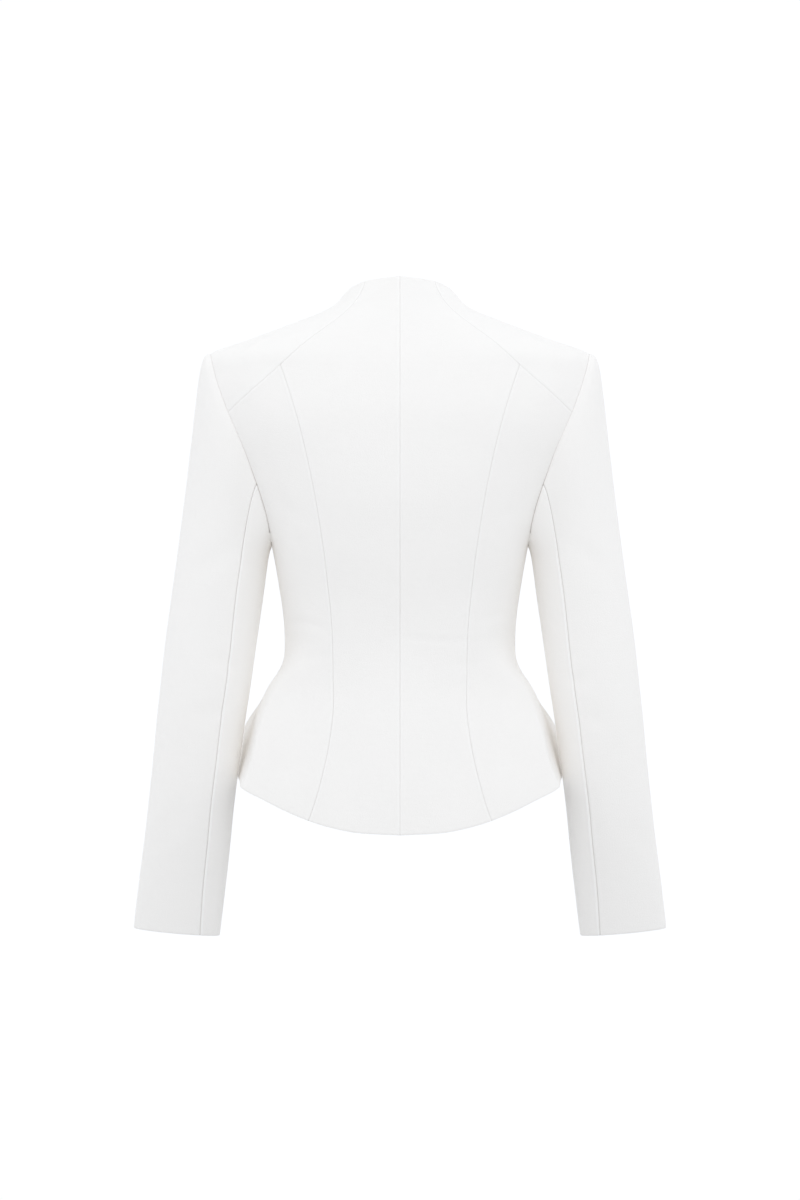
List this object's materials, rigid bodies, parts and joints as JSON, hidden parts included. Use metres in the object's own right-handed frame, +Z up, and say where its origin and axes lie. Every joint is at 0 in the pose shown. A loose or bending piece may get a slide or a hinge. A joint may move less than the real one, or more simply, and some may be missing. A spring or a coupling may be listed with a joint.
{
  "type": "wrap blazer",
  "caption": "White collarless wrap blazer, filled out as worn: standing neck, shoulder yokes, princess seams, nipped waist and a flared peplum with a curved hem.",
  "frame": {"origin": "between the wearer's shoulders, on the middle plane, level with the middle of the shoulder slopes", "axes": "+Z up, the fronts face -Y, +X is the wearer's left"},
  "size_m": [0.574, 0.2306, 0.7059],
  "materials": {
    "crepe": "matt"
  },
  "bodies": {
    "root": {"back_centre_left": "crepe", "back_centre_right": "crepe", "back_side_left": "crepe", "back_side_right": "crepe", "yoke_left": "crepe", "yoke_right": "crepe", "front_left": "crepe", "front_right": "crepe", "sleeve_top_left": "crepe", "sleeve_top_right": "crepe", "sleeve_under_left": "crepe", "sleeve_under_right": "crepe"}
  },
  "joints": []
}
